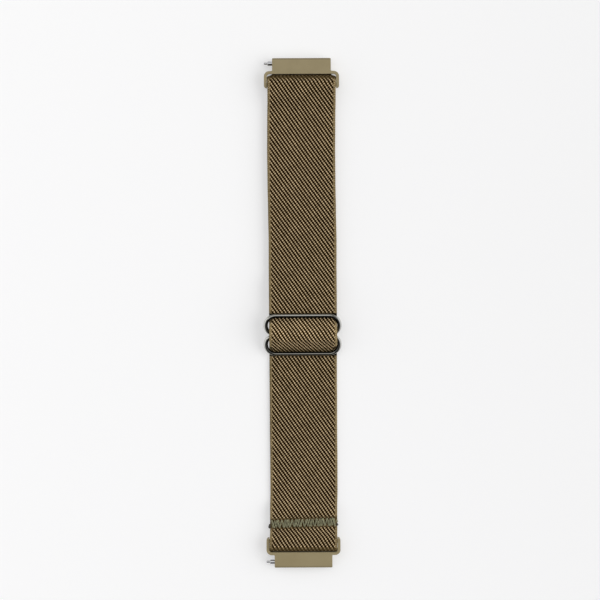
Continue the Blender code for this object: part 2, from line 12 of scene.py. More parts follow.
import bpy
import numpy as np
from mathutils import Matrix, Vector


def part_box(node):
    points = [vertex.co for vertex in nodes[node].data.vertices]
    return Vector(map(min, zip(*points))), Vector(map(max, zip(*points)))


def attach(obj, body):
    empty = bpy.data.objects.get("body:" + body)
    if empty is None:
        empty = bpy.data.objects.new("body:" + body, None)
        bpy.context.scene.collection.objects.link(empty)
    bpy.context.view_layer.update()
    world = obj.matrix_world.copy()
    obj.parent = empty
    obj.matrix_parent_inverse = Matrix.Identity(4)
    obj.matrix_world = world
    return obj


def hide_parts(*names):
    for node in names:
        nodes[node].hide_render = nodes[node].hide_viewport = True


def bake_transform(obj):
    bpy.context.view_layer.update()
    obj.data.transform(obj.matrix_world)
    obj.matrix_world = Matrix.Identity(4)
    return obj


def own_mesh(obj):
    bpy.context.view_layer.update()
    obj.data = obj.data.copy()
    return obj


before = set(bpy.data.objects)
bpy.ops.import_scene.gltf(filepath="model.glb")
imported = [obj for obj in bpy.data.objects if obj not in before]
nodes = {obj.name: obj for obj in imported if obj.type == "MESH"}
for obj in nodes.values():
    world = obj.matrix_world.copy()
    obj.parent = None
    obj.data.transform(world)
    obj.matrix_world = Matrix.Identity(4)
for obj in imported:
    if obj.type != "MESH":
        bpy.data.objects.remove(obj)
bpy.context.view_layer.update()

# %% [markdown]
# Helpers for meshes
#
# Every new surface here is a grid of points: one parameter runs along a path and the other runs
# round a section. A grid turns into quads by a rule, so no face is listed by hand. Where the grid
# is closed the last row joins the first, and where it is open its two ends get a flat cap.

# %% A mesh from a grid of points
mm = 0.001


def grid_faces(rings, around, closed):
    """Quads between neighbouring rings: corner (i, j), (i, j+1), (i+1, j+1), (i+1, j)."""
    last = rings if closed else rings - 1
    i, j = np.meshgrid(np.arange(last), np.arange(around), indexing="ij")
    i, j = i.ravel(), j.ravel()
    this, following = i * around, (i + 1) % rings * around
    beside = (j + 1) % around
    return np.stack([this + j, this + beside, following + beside, following + j], axis=1)


def grid_mesh(name, points, closed=False, flip=False):
    """A closed surface from points of shape (rings, around, 3), with caps where it is open."""
    rings, around, _ = points.shape
    faces = grid_faces(rings, around, closed).tolist()
    if not closed:
        start = list(range(around))
        end = [(rings - 1) * around + j for j in range(around)]
        faces += [start[::-1], end]
    if flip:
        faces = [face[::-1] for face in faces]
    mesh = bpy.data.meshes.new(name)
    mesh.from_pydata(points.reshape(-1, 3).tolist(), [], faces)
    mesh.shade_smooth()
    mesh.update()
    made = bpy.data.objects.new(name, mesh)
    bpy.context.scene.collection.objects.link(made)
    return made


# %% Numbers that a material can read


def give_attribute(item, name, values):
    """One number for each point of a mesh."""
    layer = item.data.attributes.new(name, "FLOAT", "POINT")
    layer.data.foreach_set("value", np.asarray(values, np.float32).ravel())


def give_uv(item, name, across, along):
    """A UV map in millimetres: across the strip and along it."""
    layer = item.data.uv_layers.new(name=name)
    corners = np.empty(len(item.data.loops), np.int32)
    item.data.loops.foreach_get("vertex_index", corners)
    pairs = np.stack([across.ravel()[corners], along.ravel()[corners]], axis=1)
    layer.data.foreach_set("uv", pairs.astype(np.float32).ravel())


# %% [markdown]
# Helpers for materials
#
# A colour is written as the sRGB hex value that a colour picker shows, and one function turns it
# into the linear numbers that the renderer works with. One more function adds a node, sets it and
# links it, and a few short ones stand for the nodes that come up again and again.

# %% Colours and nodes


def colour(hex_value):
    """sRGB hex to linear: the low end is divided by 12.92, the rest is a power of 2.4."""
    values = [int(hex_value[i : i + 2], 16) / 255 for i in (1, 3, 5)]
    linear = [v / 12.92 if v <= 0.04045 else ((v + 0.055) / 1.055) ** 2.4 for v in values]
    return (*linear, 1.0)


def add_node(tree, kind, settings=None, inputs=None):
    """Adds a node. Inputs are numbers, colours, or the sockets that feed them."""
    node = tree.nodes.new(kind)
    for name, value in (settings or {}).items():
        setattr(node, name, value)
    for name, value in (inputs or {}).items():
        if isinstance(value, bpy.types.NodeSocket):
            tree.links.new(value, node.inputs[name])
        else:
            node.inputs[name].default_value = value
    return node


def new_material(name, roughness, metallic=0.0, **more):
    """A material with its principled shader, and the tree to add to."""
    material = bpy.data.materials.new(name)
    material.use_nodes = True
    tree = material.node_tree
    shader = tree.nodes["Principled BSDF"]
    shader.inputs["Roughness"].default_value = roughness
    shader.inputs["Metallic"].default_value = metallic
    for socket, value in more.items():
        shader.inputs[socket.replace("_", " ")].default_value = value
    return material, tree, shader


def wear(item, material):
    """Gives a piece its one material."""
    item.data.materials.clear()
    item.data.materials.append(material)


# %% Nodes that come up again


def own_place(tree):
    """The place on the piece, in its own coordinates."""
    return add_node(tree, "ShaderNodeTexCoord").outputs["Object"]


def attribute(tree, name):
    """The number that the mesh has at each point under this name."""
    return add_node(tree, "ShaderNodeAttribute", {"attribute_name": name}).outputs["Fac"]


def noise(tree, place, scale, detail=2.0):
    """Cloudy noise around a half. The scale is in waves for each unit of the place."""
    inputs = {"Vector": place, "Scale": scale, "Detail": detail}
    return add_node(tree, "ShaderNodeTexNoise", inputs=inputs).outputs["Fac"]


def maths(tree, operation, first, second=0.0):
    """A sum, a product or the like of two values."""
    inputs = {0: first, 1: second}
    return add_node(tree, "ShaderNodeMath", {"operation": operation}, inputs).outputs[0]


def remap(tree, value, low, high, to_low=0.0, to_high=1.0, clamp=True):
    """Takes a value from one range to another."""
    ranges = {"From Min": low, "From Max": high, "To Min": to_low, "To Max": to_high}
    node = add_node(tree, "ShaderNodeMapRange", {"clamp": clamp}, {"Value": value, **ranges})
    return node.outputs["Result"]


def blend_colours(tree, share, low, high):
    """A colour between two, or between the sockets that give them."""
    inputs = {0: share, 6: low, 7: high}
    return add_node(tree, "ShaderNodeMix", {"data_type": "RGBA"}, inputs).outputs[2]


def colour_stops(tree, value, stops):
    """Colours at places from 0 to 1, blended in between."""
    node = add_node(tree, "ShaderNodeValToRGB", inputs={"Fac": value})
    elements = node.color_ramp.elements
    (first, low), *between, (last, high) = stops
    elements[0].position, elements[0].color = first, colour(low)
    elements[1].position, elements[1].color = last, colour(high)
    for place, hex_value in between:
        elements.new(place).color = colour(hex_value)
    return node.outputs["Color"]


def bump(tree, height, strength, distance, **more):
    """A normal that leans as if the surface had this height, in metres at height 1."""
    inputs = {"Height": height, "Strength": strength, "Distance": distance, **more}
    return add_node(tree, "ShaderNodeBump", inputs=inputs).outputs["Normal"]


# %% [markdown]
# How the strip lies
#
# The real strap is one strip. It is sewn round the slider's middle bar, runs up the back, turns
# round the upper crossbar, comes down the front, passes under, over and under the slider's three
# bars, and ends in a sewn fold round the lower crossbar. Seen from the side its path is made of
# straight lines, arcs and soft S-bends, all in the (Y, Z) plane. The sizes are the solids' own,
# apart from the plated wire's, which come from the photograph.

# %% Sizes of the webbing and its threading
strip_half = 11.6 * mm
strip_thick = 1.2 * mm
gap = 0.2 * mm
layer_step = strip_thick + gap
first_layer = strip_thick / 2
second_layer = first_layer + layer_step
third_layer = second_layer + layer_step

crossbar_radius = 0.75 * mm
crossbar_y = 78.48 * mm
fold_radius = crossbar_radius + gap + strip_thick / 2
link_height = fold_radius + strip_thick / 2
fold_top = link_height + fold_radius

wire_radius = 0.575 * mm
plated_radius = 0.67 * mm
wire_shift = 0.17 * mm
bar_spacing = 6.82 * mm
slider_y = -6.65 * mm
wire_to_strip = wire_radius + gap + strip_thick / 2
upper_bar_z = third_layer + wire_to_strip
lower_bar_z = first_layer + wire_to_strip
slider_z = (upper_bar_z + lower_bar_z) / 2
slider_tilt = math.asin((upper_bar_z - lower_bar_z) / (2 * bar_spacing))
print(f"the slider leans by {math.degrees(slider_tilt):.1f} degrees")

# %% [markdown]
# Pieces of a path
#
# Webbing under tension goes straight from bar to bar and bends round each bar at a constant
# distance, as a belt does. Where one layer comes down from another it settles in a soft step.

# %% Arcs, steps and belts


def arc(centre, radius, start, end):
    """Points on a circle, centre + radius (cos a, sin a), every two degrees."""
    count = max(3, int(abs(end - start) / math.radians(2)))
    angle = np.linspace(start, end, count)
    return np.asarray(centre) + radius * np.stack([np.cos(angle), np.sin(angle)], axis=1)


def soft_step(start, end):
    """From one level to another: the height follows 3 t^2 - 2 t^3 of the way along."""
    t = np.linspace(0, 1, 40)
    share = t * t * (3 - 2 * t)
    y = start[0] + (end[0] - start[0]) * t
    return np.stack([y, start[1] + (end[1] - start[1]) * share], axis=1)


def round_bars(bars, start, end):
    """A belt's path round bars given as (centre, distance), each at its distance.

    A distance above zero has the bar on the right of the strip. From bar to bar the strip is
    straight and touches both circles, so its heading is the heading from centre to centre less
    the arcsine of the difference of the distances over the spacing.
    """
    headings = [start]
    for (first, one), (second, other) in zip(bars, bars[1:]):
        way = np.subtract(second, first)
        angle = math.atan2(way[1], way[0]) - math.asin((one - other) / np.hypot(*way))
        side = math.copysign(1, -one)
        headings.append(headings[-1] + side * (side * (angle - headings[-1]) % (2 * math.pi)))
    headings.append(end)
    parts = []
    for (centre, distance), arriving, leaving in zip(bars, headings, headings[1:]):
        count = max(3, int(abs(leaving - arriving) / math.radians(2)))
        angle = np.linspace(arriving, leaving, count)
        turned = np.stack([-np.sin(angle), np.cos(angle)], axis=1)
        parts.append(np.asarray(centre) + distance * turned)
    return np.concatenate(parts)


def on_slider(along):
    """The centre of a slider bar, seen from the side."""
    lean = (along * math.cos(slider_tilt), along * math.sin(slider_tilt))
    return (slider_y + lean[0], slider_z + lean[1])


def length_of(path):
    return float(np.linalg.norm(np.diff(path, axis=0), axis=1).sum())


# %% [markdown]
# The path of each run
#
# The back run starts with its sewn tail, goes round the middle bar and up to the upper crossbar.
# The front run sags into the upper link's slot as a blunt nose before it comes down, and weaves
# through the slider. The lower run climbs over its own tail and lies slack round the lower
# crossbar.

# %% Back run
settle = 8.5 * mm
sewn_tail_y = slider_y + 11.2 * mm
sewn_reach = 12.4 * mm
tail_circle = (slider_y + 6.2 * mm, first_layer + 5.0 * mm)
back_low = slider_y + sewn_reach + 0.3 * mm + settle

sewn_end_path = round_bars(
    [
        (on_slider(bar_spacing), wire_to_strip + layer_step),
        (on_slider(0), -wire_to_strip),
        (tail_circle, -(tail_circle[1] - first_layer)),
    ],
    math.pi,
    2 * math.pi,
)
back_path = np.concatenate(
    [
        [(sewn_tail_y, first_layer)],
        sewn_end_path[::-1],
        soft_step((slider_y + sewn_reach, second_layer), (back_low, first_layer)),
        [(crossbar_y, first_layer)],
    ]
)

# %% Front run
nose_round, brow_round = 0.8 * mm, 0.9 * mm
nose = (crossbar_y + 2.28 * mm, first_layer + nose_round)
brow = (crossbar_y + 0.45 * mm, fold_top - brow_round)
brow_slope = 9.5 * mm
front_low = back_low + layer_step

crossing_path = round_bars(
    [
        (on_slider(bar_spacing), wire_to_strip),
        (on_slider(0), -(wire_to_strip + layer_step)),
        (on_slider(-bar_spacing), wire_to_strip),
    ],
    math.pi,
    math.pi,
)
front_path = np.concatenate(
    [
        [(crossbar_y, first_layer)],
        round_bars([(nose, -nose_round), (brow, -brow_round)], 0, math.pi),
        soft_step((crossbar_y, fold_top), (crossbar_y - brow_slope, second_layer)),
        soft_step((front_low, second_layer), (front_low - settle, third_layer)),
        crossing_path,
    ]
)

# %% Lower run
fold_slack = 1.45 * mm
seam_y = slider_y - bar_spacing * math.cos(slider_tilt)
tail_end = -crossbar_y + 9.2 * mm
ramp_end = tail_end + 0.6 * mm
ramp_start = ramp_end + 4.8 * mm
fold_rise = -crossbar_y + 3.6 * mm
slack_centre = (-crossbar_y - fold_slack, link_height)

lower_path = np.concatenate(
    [
        [(seam_y, first_layer)],
        soft_step((ramp_start, first_layer), (ramp_end, second_layer)),
        soft_step((fold_rise, second_layer), (-crossbar_y, fold_top)),
        arc(slack_centre, fold_radius, math.pi / 2, 3 * math.pi / 2),
        [(tail_end, first_layer)],
    ]
)
for title, path in (("back", back_path), ("front", front_path), ("lower", lower_path)):
    print(f"{title} run: {1000 * length_of(path):.0f} mm")

# %% [markdown]
# The twill
#
# Elastic webbing of this kind is a twill: lengthwise yarns 0.43 mm apart show as a bead over one
# pick and dive under the next two. Each yarn's bead sits one pick later than its neighbour's, so
# the beads line up in ribs that run down to the right at 54 degrees, as in the photograph. A pick
# is 0.60 mm. Along each edge is a narrow selvedge in a tighter plain weave.
#
# The weave could be a bump map, but then its ribs would vanish at the edges and at a low angle.
# Here the relief is in the mesh: three points across each yarn and three for each pick.

# %% Height of the weave
yarn_pitch = 1.28 * mm / 3
pick_pitch = 0.60 * mm
float_length = 3 * pick_pitch
twill_half = 25.1 * yarn_pitch
relief_depth = 0.34 * mm
bead_wide = 0.26 * mm
bead_long = 0.30 * mm
plain_level, plain_wave = 0.56, 0.34


def ramp(low, high, value):
    """0 below low, 1 above high, and 3 t^2 - 2 t^3 in between."""
    t = np.clip((value - low) / (high - low), 0, 1)
    return t * t * (3 - 2 * t)


def weave(across, along):
    """Height from 0 to 1 of the yarns at a place on the strip, how far it is selvedge, and the
    number of the bead.

    A bead is exp(-(x / wide)^2 - (y / long)^2) round its middle, which is where its yarn's phase,
    along / float length less a third for each yarn, is half way between two whole numbers. The
    highest of three neighbouring yarns counts. In the selvedge the height is a wave along, turned
    over from yarn to yarn.
    """
    middle = np.floor(across / yarn_pitch + 0.5)
    twill = np.zeros(np.broadcast(across, along).shape)
    number = np.zeros_like(twill)
    for yarn in (middle - 1, middle, middle + 1):
        phase = along / float_length - yarn / 3
        aside = (across - yarn * yarn_pitch) / bead_wide
        ahead = (phase - np.floor(phase) - 0.5) * float_length / bead_long
        bead = np.exp(-(aside**2) - ahead**2)
        number = np.where(bead > twill, yarn * 7 + np.floor(phase) * 13, number)
        twill = np.maximum(twill, bead)
    edge = ramp(twill_half - 0.1 * mm, twill_half + 0.25 * mm, np.abs(across))
    wave = np.cos(2 * math.pi * along / pick_pitch + math.pi * middle)
    return twill * (1 - edge) + (plain_level + plain_wave * wave) * edge, edge, number


def bead_chance(number):
    """A number from 0 to 1 for each bead that looks random: the fraction of a large sine."""
    return np.modf(np.abs(np.sin(number * 12.9898)) * 43758.5453)[0]


# %% [markdown]
# The strip's section
#
# A section is carried along the path. It has many points on the face that is seen, round edges,
# and few points on the hidden face. The face that is seen is on the right of the path all the way
# round: below on the back run, outside on the folds and above on the front runs.

# %% Section and steps
edge_round = 0.42 * mm
fine_step = yarn_pitch / 3
body_half = strip_thick / 2 - relief_depth / 2
hidden_points = 20


def section_points():
    """(across, out, across normal, out normal, relief share) round the strip's section."""
    inner = strip_half - edge_round
    count = int(inner / fine_step - 0.5)
    face = (np.arange(-count, count + 1) - 0.5) * fine_step
    face = face[np.abs(face) < inner]
    turn = np.radians([75, 45, 15, -15, -45, -75])
    hidden = np.linspace(inner, -inner, hidden_points)
    flat, level = np.zeros_like(face), np.zeros_like(hidden)
    cosine, sine = np.cos(turn), np.sin(turn)
    right = (inner + edge_round * cosine, body_half * sine, cosine, sine)
    left = (-right[0][::-1], right[1][::-1], -right[2][::-1], right[3][::-1])
    seen = (face, flat + body_half, flat, flat + 1)
    under = (hidden, level - body_half, level, level - 1)
    columns = zip(seen, right, under, left)
    across, out, normal_x, normal_out = (np.concatenate(column) for column in columns)
    return across, out, normal_x, normal_out, np.clip(0.35 + normal_out, 0, 1)


def even_steps(path, step):
    """Points at even distances along a path, with the distance of each from the start."""
    path = path[np.r_[True, np.linalg.norm(np.diff(path, axis=0), axis=1) > 1e-7]]
    distance = np.r_[0, np.cumsum(np.linalg.norm(np.diff(path, axis=0), axis=1))]
    at = np.linspace(0, distance[-1], int(distance[-1] / step) + 2)
    return np.stack([np.interp(at, distance, path[:, i]) for i in range(2)], axis=1), at


# %% [markdown]
# Where the strip is tight, and where shade and light are painted on it
#
# Webbing that bends sharply, hangs deep in the link's slot or dives under a bar has its yarns
# pressed flat, and there its colour is darkened as painted shade. Over the slider's middle bar the
# strip is painted lighter, a painted light on the top of its hump. Beside the slider's bars a dark
# line is painted shadow.

# %% Tight places, painted shade and painted light
loose_bend, sharp_bend = 2.6 * mm, 1.7 * mm
bend_window = 1.2 * mm


def tightness(heading, along):
    """1 where the strip bends sharply and 0 where it bends loosely: from the change of heading
    over distance, averaged over the window."""
    turn = np.abs(np.gradient(np.unwrap(np.arctan2(heading[:, 1], heading[:, 0])), along))
    wide = int(bend_window / (along[1] - along[0]))
    turn = np.convolve(np.pad(turn, wide, "edge"), np.ones(wide) / wide, "same")[wide:-wide]
    return ramp(1 / loose_bend, 1 / sharp_bend, turn)[:, None]


def deep_in_slot(y):
    """The part of the upper fold that hangs deep in the link's slot: relief flattened, painted
    shade.
    """
    return ramp(crossbar_y + 1.45 * mm, crossbar_y + 2.0 * mm, y)


def painted_light_on_hump(y):
    """Painted light on the hump: 1 on top of the slider's middle bar, and 0 from 5.2 mm away."""
    return 1 - ramp(3.5 * mm, 5.2 * mm, np.abs(y - slider_y))


def pulled_down_and_shaded(y):
    """Above the slider's lower bar the strip dives under it: yarns flatter, colour in painted
    shade.
    """
    below = slider_y - y
    return 0.7 * ramp(4.2 * mm, 5.6 * mm, below) * (1 - ramp(6.6 * mm, 6.9 * mm, below))


def painted_bar_shadow(y):
    """A painted shadow: a dark line where the slider's upper and lower bars press into the strip.
    It is wider on the slider's inner side."""
    off = np.abs(y - slider_y + wire_shift) - bar_spacing * math.cos(slider_tilt)
    reach = plated_radius + np.where(off < 0, 0.25 * mm, 0)
    return 1 - ramp(reach, reach + 0.25 * mm, np.abs(off))


# %% [markdown]
# Width of the strip
#
# The strip keeps its width between the slider's round ends, and its corners curl down under the
# bent wire. The sewn end is narrower. In the links the strip fills the slots, and at the folds its
# corners tuck in, because the slots have round corners. Nothing holds the strip straight, so it
# sways by a quarter of a millimetre.

# %% Half widths, curled corners and sway
lobe_x = strip_half + 0.35 * mm + wire_radius - bar_spacing / 2


def eased(places, values):
    """A function that eases from value to value between places."""
    places, values = np.asarray(places), np.asarray(values)

    def at(where):
        index = np.clip(np.searchsorted(places, where) - 1, 0, len(places) - 2)
        t = np.clip((where - places[index]) / (places[index + 1] - places[index]), 0, 1)
        return values[index] + (values[index + 1] - values[index]) * t * t * (3 - 2 * t)

    return at


def corner_curl(x, y):
    """How far the webbing dips under the slider's bent corners: most at its edges, and between
    the bars and the middle of each lobe."""
    along = np.abs(y - slider_y) / math.cos(slider_tilt)
    near = ramp(3.5 * mm, 5.0 * mm, along) * (1 - ramp(5.7 * mm, 6.7 * mm, along))
    return 0.95 * mm * near * ramp(10.0 * mm, 11.3 * mm, np.abs(x))


sway_table = np.array(
    [
        (-80, -0.02), (-74, 0.10), (-67.6, 0.10), (-61, 0.26), (-50.5, 0.26), (-40, 0.19),
        (-30, 0.20), (-19.5, 0.16), (-9, 0.20), (4.5, 0.16), (15, 0.12), (25, 0.15),
        (35, 0), (46, -0.15), (56, -0.22), (66, -0.13), (74, 0),
    ]
) * mm  # fmt: skip
sway = eased(sway_table[:, 0], sway_table[:, 1])
nose_turn = nose[0] + nose_round
front_width = eased(
    np.r_[crossbar_y + np.array([0.2, 1.2]) * mm, nose_turn + np.array([-0.6, 0]) * mm],
    strip_half + np.array([0, 0.10, 0.10, -1.35]) * mm,
)
back_width = eased(
    slider_y + np.array([0, 3.41, 7.6]) * mm,
    [lobe_x + 0.6 * mm, lobe_x + 1.0 * mm, strip_half],
)
fold_slack_tip = -crossbar_y - fold_slack - link_height
lower_width = eased(
    np.r_[fold_slack_tip + np.array([0, 1.0]) * mm, -crossbar_y + np.array([0, 3.0]) * mm],
    strip_half + np.array([-0.6, 0.09, 0.09, 0]) * mm,
)

# %% [markdown]
# Where the bar-tacks pull the webbing in
#
# A bar-tack is a tight zigzag. Its threads sink into the webbing, so the faces have a shallow
# groove under them: on both sides of the two sewn layers.

# %% Grooves under the stitches
tack_y = -crossbar_y + 6.4 * mm
tack_tilt = math.radians(1.9)
tack_height = 2.9 * mm
sewn_y = slider_y + 8.9 * mm
groove_top, groove_below = 0.22 * mm, 0.34 * mm


def lower_groove(x, y, z):
    """A band along the tilted bar-tack, shallow on top and deeper underneath."""
    off = np.abs(y - tack_y - x * math.tan(tack_tilt))
    depth = np.where(z > layer_step, groove_top, groove_below)
    return depth * (1 - ramp(tack_height / 2, tack_height / 2 + 0.7 * mm, off))


def sewn_groove(x, y, z):
    """The same under the bar-tack of the sewn end, on the face below."""
    off = np.abs(y - sewn_y)
    depth = np.where(z < layer_step, groove_below, 0)
    return depth * (1 - ramp(tack_height / 2, tack_height / 2 + 0.6 * mm, off))


# %% [markdown]
# Carry the section along the paths
#
# Each run is a closed surface of its own. The distance is counted on from run to run, which keeps
# the twill unbroken.

# %% One run of webbing
table_height = 0.02 * mm
hidden_height = 0.45


def strip(name, path, half_width, step, first_distance=0.0, pressed_and_shaded=None, curl=None):
    """The webbing along a path in (Y, Z).

    Point = path + visible normal x (section height + relief), and across = section place scaled
    by the half width there. The relief stands on the section's own normal, and a press, given
    as a depth for each place, takes it down where a stitch pulls it in and darkens it there as
    painted shade. A curl takes the whole section down. Where the strip is tight its yarns are
    pressed flat and its colour is darkened as painted shade. The marks also paint a shadow line
    beside the slider's bars and light over its middle bar. Nothing goes below the table.
    """
    centre, along = even_steps(path, step)
    heading = np.gradient(centre, axis=0)
    heading /= np.linalg.norm(heading, axis=1)[:, None]
    seen_y, seen_z = heading[:, 1:], -heading[:, :1]
    y, z = centre[:, :1], centre[:, 1:]
    across, out, normal_x, normal_out, shown = section_points()
    distance = along[:, None] + first_distance
    height, edge, number = weave(across[None, :], distance)
    tight_and_shaded = np.where(y > crossbar_y, deep_in_slot(y), tightness(heading, along))
    tight_and_shaded = np.broadcast_to(np.maximum(tight_and_shaded, pulled_down_and_shaded(y)), height.shape)
    lift = ((height - 0.5) * (1 - 0.9 * tight_and_shaded) + 0.35 * tight_and_shaded) * relief_depth * shown
    x = across * half_width(y) / strip_half + lift * normal_x + sway(y)
    rise = out + lift * normal_out
    if pressed_and_shaded is not None:
        depth = pressed_and_shaded(x, y, z) * (normal_out > 0.2)
        rise = rise - depth
        # Under a stitch the strip is darkened as painted shade as well.
        tight_and_shaded = np.maximum(tight_and_shaded, np.clip(depth / groove_top, 0, 1))
    if curl is not None:
        rise = rise - curl(x, y)
    points = [x, y + seen_y * rise, np.maximum(z + seen_z * rise, table_height)]
    made = grid_mesh(name, np.stack(points, axis=2))
    woven = np.clip(shown * 1.2, 0, 1)
    marks = {
        "height": height * woven + hidden_height * (1 - woven),
        "selvedge": np.maximum(edge, 1 - shown) + 0 * height,
        # Random tone of each bead, plus painted light over the slider's middle bar.
        "bead_tone_and_painted_light": bead_chance(number) + painted_light_on_hump(y),
        # Painted shade where the strip is tight, deep in the slot or under a stitch.
        "tight_and_shaded": tight_and_shaded * shown,
        # Painted shadow: a dark line beside the slider's upper and lower bars.
        "painted_bar_shadow": painted_bar_shadow(y) * (shown > 0.9),
        "reverse": (normal_out < -0.9) + 0 * height,
    }
    for mark, values in marks.items():
        give_attribute(made, mark, values)
    give_uv(made, "strip", across / mm + 0 * height, distance / mm + 0 * height)
    print(f"{name}: {len(made.data.vertices)} points")
    return made, first_distance + float(along[-1])


# %% Make the three runs
hidden_step, seen_step = 0.30 * mm, 0.20 * mm
back_run, distance = strip(
    "webbing_back_run", back_path, back_width, hidden_step, pressed_and_shaded=sewn_groove
)
front_run, distance = strip(
    "webbing_front_run", front_path, front_width, seen_step, distance, curl=corner_curl
)
lower_run, distance = strip(
    "webbing_lower_fold_run", lower_path, lower_width, seen_step, distance, lower_groove
)
print(f"the whole strip is {1000 * distance:.0f} mm long")

# %% [markdown]
# Nylon yarn
#
# The yarn is dope-dyed nylon, textured so that it stretches: a matte khaki with a weak gloss of
# its own colour. The selvedge is a shade browner. The colour follows the height of the weave: it
# is painted almost black where a yarn dives between its neighbours, a painted shade, and each bead
# differs a little. Where the strip is tight the weave looks flatter and is darkened as painted
# shade. Beside the slider's bars a dark line is painted shadow, and over its middle bar the strip
# is painted lighter, a painted light. A fine grain along the yarn stands for the filaments. Real
# filaments are 0.03 mm across; they are drawn 0.1 mm wide so that they show.
#
# The hidden face is the twill's reverse: flatter ribs, with no beads. Its mesh is plain there, so
# the ribs are a bump, and colour that darkens between them as painted shade.

# %% The reverse of the twill
waves_per_unit = 20 / (2 * math.pi)  # of a wave texture at scale 1


def reverse_twill(tree, uv):
    """Height from 0 to 1 on the hidden face, where the twill shows as flatter ribs: a wave across
    the twill lines, times a wave across the yarns. Their spacings are the weave's own."""
    across_lines = np.array([-1 / (3 * yarn_pitch), 1 / float_length]) * mm
    turn = math.atan2(-across_lines[1], across_lines[0])
    mapping = {"Vector": uv, "Rotation": (0, 0, turn)}
    turned = add_node(tree, "ShaderNodeMapping", inputs=mapping).outputs["Vector"]
    waves = []
    for place, per_mm in ((turned, np.linalg.norm(across_lines)), (uv, mm / yarn_pitch)):
        inputs = {"Vector": place, "Scale": per_mm / waves_per_unit}
        waves.append(add_node(tree, "ShaderNodeTexWave", inputs=inputs).outputs["Fac"])
    ribs, yarns = waves
    return maths(tree, "MULTIPLY", ribs, remap(tree, yarns, 0, 1, 0.45))


# %% The webbing's material


def webbing_material():
    """Matte khaki yarn whose colour follows the relief, with painted shade and painted light."""
    gloss = {"Specular_IOR_Level": 0.12, "Specular_Tint": colour("#b08d55")}
    material, tree, shader = new_material("dyed_nylon_webbing", 0.90, IOR=1.53, **gloss)
    uv = add_node(tree, "ShaderNodeUVMap", {"uv_map": "strip"}).outputs["UV"]
    height = attribute(tree, "height")
    # Painted shade: the colour darkens toward the valleys of the weave, to near black between
    # yarns.
    beads = colour_stops(tree, height, [(0.13, "#0a0300"), (0.33, "#67512b"), (0.82, "#d3be9c")])
    edge = colour_stops(tree, height, [(0.20, "#35270f"), (0.90, "#a9966f")])
    base = blend_colours(tree, attribute(tree, "selvedge"), beads, edge)
    # Painted shade: tight places, the fold deep in the upper slot and stitch grooves go deep brown.
    pressed_and_shaded = maths(tree, "MULTIPLY", attribute(tree, "tight_and_shaded"), 0.75)
    base = blend_colours(tree, pressed_and_shaded, base, colour("#4a3c22"))
    # Painted shadow: a near-black line beside the slider's upper and lower bars.
    base = blend_colours(tree, attribute(tree, "painted_bar_shadow"), base, colour("#0d0903"))

    ribs = reverse_twill(tree, uv)
    reverse = attribute(tree, "reverse")
    # Painted shade: the hidden face darkens between its ribs.
    rib_colour = blend_colours(tree, ribs, colour("#2a1f0e"), colour("#a08a60"))
    base = blend_colours(tree, reverse, base, rib_colour)

    # Each bead has its own brightness, and the dye is a little uneven over centimetres. Over the
    # slider's middle bar the strip is painted lighter, a painted light.
    bead = remap(tree, attribute(tree, "bead_tone_and_painted_light"), 0, 1, 0.85, 1.11, clamp=False)
    patch = remap(tree, noise(tree, uv, 0.22, 3.0), 0.3, 0.7, 0.90, 1.10)
    brightness = maths(tree, "MULTIPLY", bead, patch)
    dyed = add_node(tree, "ShaderNodeHueSaturation", inputs={"Value": brightness, "Color": base})
    tree.links.new(dyed.outputs["Color"], shader.inputs["Base Color"])

    stretch = {"Vector": uv, "Scale": (10.0, 1.6, 1.0), "Rotation": (0, 0, math.radians(12))}
    stretched = add_node(tree, "ShaderNodeMapping", inputs=stretch).outputs["Vector"]
    filaments = bump(tree, noise(tree, stretched, 1.0), 0.5, 0.05 * mm)
    rib_height = maths(tree, "MULTIPLY", reverse, ribs)
    normal = bump(tree, rib_height, 1.0, 0.2 * mm, Normal=filaments)
    tree.links.new(normal, shader.inputs["Normal"])
    return material


nylon = webbing_material()
for run in (back_run, front_run, lower_run):
    wear(run, nylon)
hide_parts("webbing_upper_run", "webbing_sewn_end")
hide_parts("webbing_upper_run", "webbing_slider_crossing")
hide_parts("webbing_lower_run", "webbing_slider_crossing")

# %% [markdown]
# Where the runs sit
#
# When the slider moves, the runs on both sides of it get longer or shorter. Here each run's
# placement is written into its mesh.

# %% Write the runs' placement into their meshes
for run in (back_run, front_run):
    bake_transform(run)
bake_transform(lower_run)

# %% [markdown]
# Stitches
#
# A bar-tack is a dense zigzag of thick polyester thread under a few wider strokes, with its ends
# melted into small knots at the edges of the strip. Each thread is a tube carried along the
# zigzag, and three plies wind round it as a twist.

# %% A tube along a path


def tube(name, path, radius, around=12, closed=False, twist=None):
    """A round tube: point = path + radius (side cos a + up sin a), with side level and up
    square to both. A twist, given as (depth, length, plies), makes the radius wave round it."""
    heading = np.gradient(path, axis=0)
    if closed:
        heading = np.roll(path, -1, axis=0) - np.roll(path, 1, axis=0)
    heading /= np.linalg.norm(heading, axis=1)[:, None]
    level = np.cross(heading, [0, 0, 1.0])
    level /= np.maximum(np.linalg.norm(level, axis=1), 1e-9)[:, None]
    up = np.cross(level, heading)
    angle = np.linspace(0, 2 * math.pi, around, endpoint=False)
    radius = np.broadcast_to(np.asarray(radius, float), (len(path),))[:, None]
    if twist:
        depth, length, plies = twist
        run = np.r_[0, np.cumsum(np.linalg.norm(np.diff(path, axis=0), axis=1))]
        wound = plies * (angle[None, :] - 2 * math.pi * run[:, None] / length)
        radius = radius + depth * (np.abs(np.cos(wound / 2)) - 0.6)
    cosine, sine = np.cos(angle)[None, :, None], np.sin(angle)[None, :, None]
    ring = level[:, None, :] * cosine + up[:, None, :] * sine
    return grid_mesh(name, path[:, None, :] + radius[:, :, None] * ring, closed)


